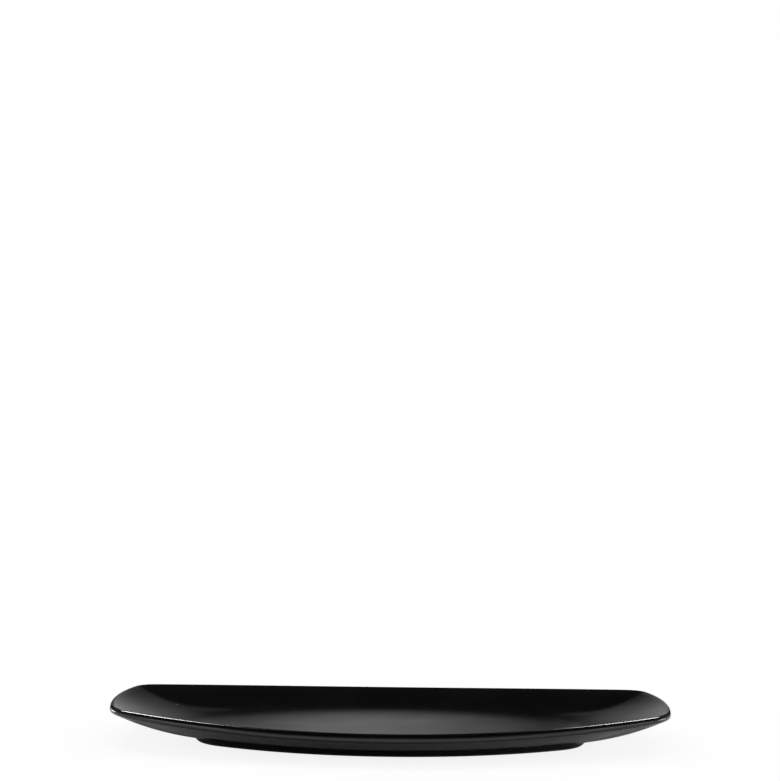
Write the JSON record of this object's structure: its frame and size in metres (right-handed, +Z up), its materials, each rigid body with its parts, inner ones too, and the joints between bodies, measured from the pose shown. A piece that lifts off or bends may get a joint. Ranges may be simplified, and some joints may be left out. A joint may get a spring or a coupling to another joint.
{
  "type": "oval serving platter",
  "caption": "Low oval stoneware serving platter with bowed sides, blunt rounded ends, a rim that rises at the ends, an oval foot ring and a black satin glaze.",
  "frame": {"origin": "on the table, under the middle of the platter, in the plane of the foot's standing face", "axes": "+X along the length, +Y across the width, +Z up out of the well"},
  "size_m": [0.4, 0.25, 0.0275],
  "materials": {
    "bare_clay": "dark fired stoneware, matt and slightly gritty",
    "black_glaze": "black satin glaze with a soft sheen and a few pale specks"
  },
  "bodies": {
    "root": {"clay_body": "bare_clay", "foot_ring": "bare_clay", "face_glaze": "black_glaze", "back_glaze": "black_glaze", "base_glaze": "black_glaze"}
  },
  "joints": []
}
